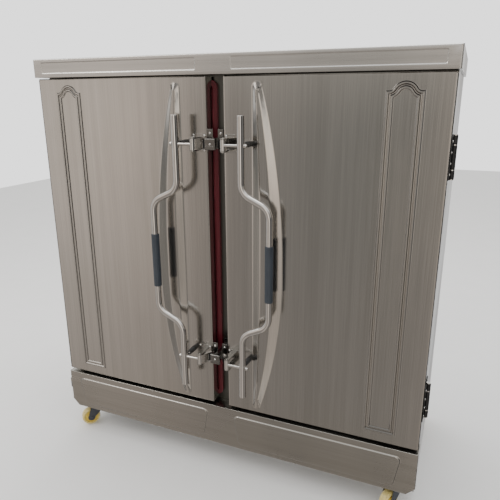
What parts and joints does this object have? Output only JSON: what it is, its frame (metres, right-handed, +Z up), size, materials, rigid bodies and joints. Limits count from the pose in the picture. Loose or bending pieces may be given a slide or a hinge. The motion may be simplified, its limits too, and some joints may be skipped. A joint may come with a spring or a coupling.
{
  "type": "rice steamer cabinet",
  "caption": "Stainless double-door rice steamer cabinet on casters, with bent-tube handles that work roller latches, pressed panels and tray racks over a heated water tank.",
  "frame": {"origin": "on the floor, under the middle of the whole object's box; the cabinet's centre line is at X 0", "axes": "+X to the right as one faces the doors, -Y out of the front, +Z up"},
  "size_m": [1.4465, 0.7384, 1.4954],
  "materials": {
    "brushed_panel": "brushed stainless sheet",
    "liner_steel": "plain stainless sheet",
    "frame_steel": "dull stainless sheet in shade",
    "polished_steel": "polished stainless",
    "zinc_steel": "zinc plated",
    "dark_fork": "dark grey paint",
    "black_hinge": "black coating",
    "brass": "turned brass",
    "red_silicone": "matt silicone",
    "black_rubber": "matt rubber",
    "grip_rubber": "satin rubber",
    "black_nylon": "moulded nylon",
    "yellow_tread": "cast polyurethane",
    "insulation": "mineral wool board"
  },
  "bodies": {
    "cabinet": {"side_panels": "brushed_panel", "rear_panel": "brushed_panel", "front_frame": "frame_steel", "top_cap": "brushed_panel", "skirt_panel": "brushed_panel", "base_frame": "zinc_steel", "insulation": "insulation", "chamber_liners": "liner_steel", "chamber_floors": "liner_steel", "steam_plates": "liner_steel", "rack_uprights": "liner_steel", "tray_runners": "liner_steel", "water_tank": "liner_steel", "heaters": "polished_steel", "float_box": "liner_steel", "cable_gland": "black_nylon", "steam_vents": "liner_steel", "drain_valve": "brass", "door_seals": "red_silicone", "hinge_pins": "polished_steel", "hinge_frame_leaves": "black_hinge", "keeper_brackets": "polished_steel", "keeper_screws": "polished_steel", "caster_plates": "zinc_steel", "caster_bolts": "zinc_steel"},
    "drain_lever": {"drain_lever": "black_nylon"},
    "left_door": {"left_door_skin": "brushed_panel", "left_door_pan": "liner_steel", "left_door_core": "insulation", "left_hinge_leaves": "black_hinge", "left_latch_bases": "polished_steel", "left_latch_screws": "polished_steel", "left_bumpers": "black_rubber"},
    "left_handle": {"left_handle_tube": "polished_steel", "left_handle_sleeves": "polished_steel", "left_handle_grip": "grip_rubber", "left_latch_arms": "polished_steel"},
    "left_rollers": {"left_latch_rollers": "black_nylon"},
    "right_door": {"right_door_skin": "brushed_panel", "right_door_pan": "liner_steel", "right_door_core": "insulation", "right_hinge_leaves": "black_hinge", "right_latch_bases": "polished_steel", "right_latch_screws": "polished_steel", "right_bumpers": "black_rubber"},
    "right_handle": {"right_handle_tube": "polished_steel", "right_handle_sleeves": "polished_steel", "right_handle_grip": "grip_rubber", "right_latch_arms": "polished_steel"},
    "right_rollers": {"right_latch_rollers": "black_nylon"},
    "caster_fl": {"caster_fork_fl": "dark_fork"},
    "wheel_fl": {"caster_wheel_fl": "yellow_tread"},
    "caster_fr": {"caster_fork_fr": "dark_fork"},
    "wheel_fr": {"caster_wheel_fr": "yellow_tread"},
    "caster_rl": {"caster_fork_rl": "dark_fork"},
    "wheel_rl": {"caster_wheel_rl": "yellow_tread"},
    "caster_rr": {"caster_fork_rr": "dark_fork"},
    "wheel_rr": {"caster_wheel_rr": "yellow_tread"}
  },
  "joints": [
    {"name": "left_door_hinge", "type": "hinge", "parent": "cabinet", "child": "left_door", "pos_m": [-0.708, -0.25075, 0.8537], "axis": [0, 0, -1], "range_deg": [0, 180]},
    {"name": "left_handle_pivot", "type": "hinge", "parent": "left_door", "child": "left_handle", "pos_m": [-0.0528, -0.35175, 0.85289], "axis": [0, 0, 1], "range_deg": [-13.5, 60]},
    {"name": "left_roller_spin", "type": "hinge", "parent": "left_handle", "child": "left_rollers", "pos_m": [-0.0268, -0.31975, 0.85289], "axis": [0, 0, 1], "continuous": true},
    {"name": "right_door_hinge", "type": "hinge", "parent": "cabinet", "child": "right_door", "pos_m": [0.708, -0.25075, 0.8537], "axis": [0, 0, 1], "range_deg": [0, 180]},
    {"name": "right_handle_pivot", "type": "hinge", "parent": "right_door", "child": "right_handle", "pos_m": [0.0528, -0.35175, 0.85289], "axis": [0, 0, -1], "range_deg": [-13.5, 60]},
    {"name": "right_roller_spin", "type": "hinge", "parent": "right_handle", "child": "right_rollers", "pos_m": [0.0268, -0.31975, 0.85289], "axis": [0, 0, 1], "continuous": true},
    {"name": "caster_swivel_fl", "type": "hinge", "parent": "cabinet", "child": "caster_fl", "pos_m": [-0.632, -0.24375, 0.09], "axis": [0, 0, 1], "continuous": true},
    {"name": "wheel_spin_fl", "type": "hinge", "parent": "caster_fl", "child": "wheel_fl", "pos_m": [-0.65145, -0.26389, 0.0375], "axis": [-0.7193, 0.6947, 0], "continuous": true},
    {"name": "caster_swivel_fr", "type": "hinge", "parent": "cabinet", "child": "caster_fr", "pos_m": [0.632, -0.24375, 0.09], "axis": [0, 0, 1], "continuous": true},
    {"name": "wheel_spin_fr", "type": "hinge", "parent": "caster_fr", "child": "wheel_fr", "pos_m": [0.61885, -0.26847, 0.0375], "axis": [-0.8829, 0.4695, 0], "continuous": true},
    {"name": "caster_swivel_rl", "type": "hinge", "parent": "cabinet", "child": "caster_rl", "pos_m": [-0.632, 0.29225, 0.09], "axis": [0, 0, 1], "continuous": true},
    {"name": "wheel_spin_rl", "type": "hinge", "parent": "caster_rl", "child": "wheel_rl", "pos_m": [-0.65831, 0.28267, 0.0375], "axis": [-0.342, 0.9397, 0], "continuous": true},
    {"name": "caster_swivel_rr", "type": "hinge", "parent": "cabinet", "child": "caster_rr", "pos_m": [0.632, 0.29225, 0.09], "axis": [0, 0, 1], "continuous": true},
    {"name": "wheel_spin_rr", "type": "hinge", "parent": "caster_rr", "child": "wheel_rr", "pos_m": [0.65625, 0.27825, 0.0375], "axis": [-0.5, -0.866, 0], "continuous": true},
    {"name": "drain_lever_turn", "type": "hinge", "parent": "cabinet", "child": "drain_lever", "pos_m": [-0.718, -0.28075, 0.205], "axis": [0, 1, 0], "range_deg": [0, 90]}
  ]
}
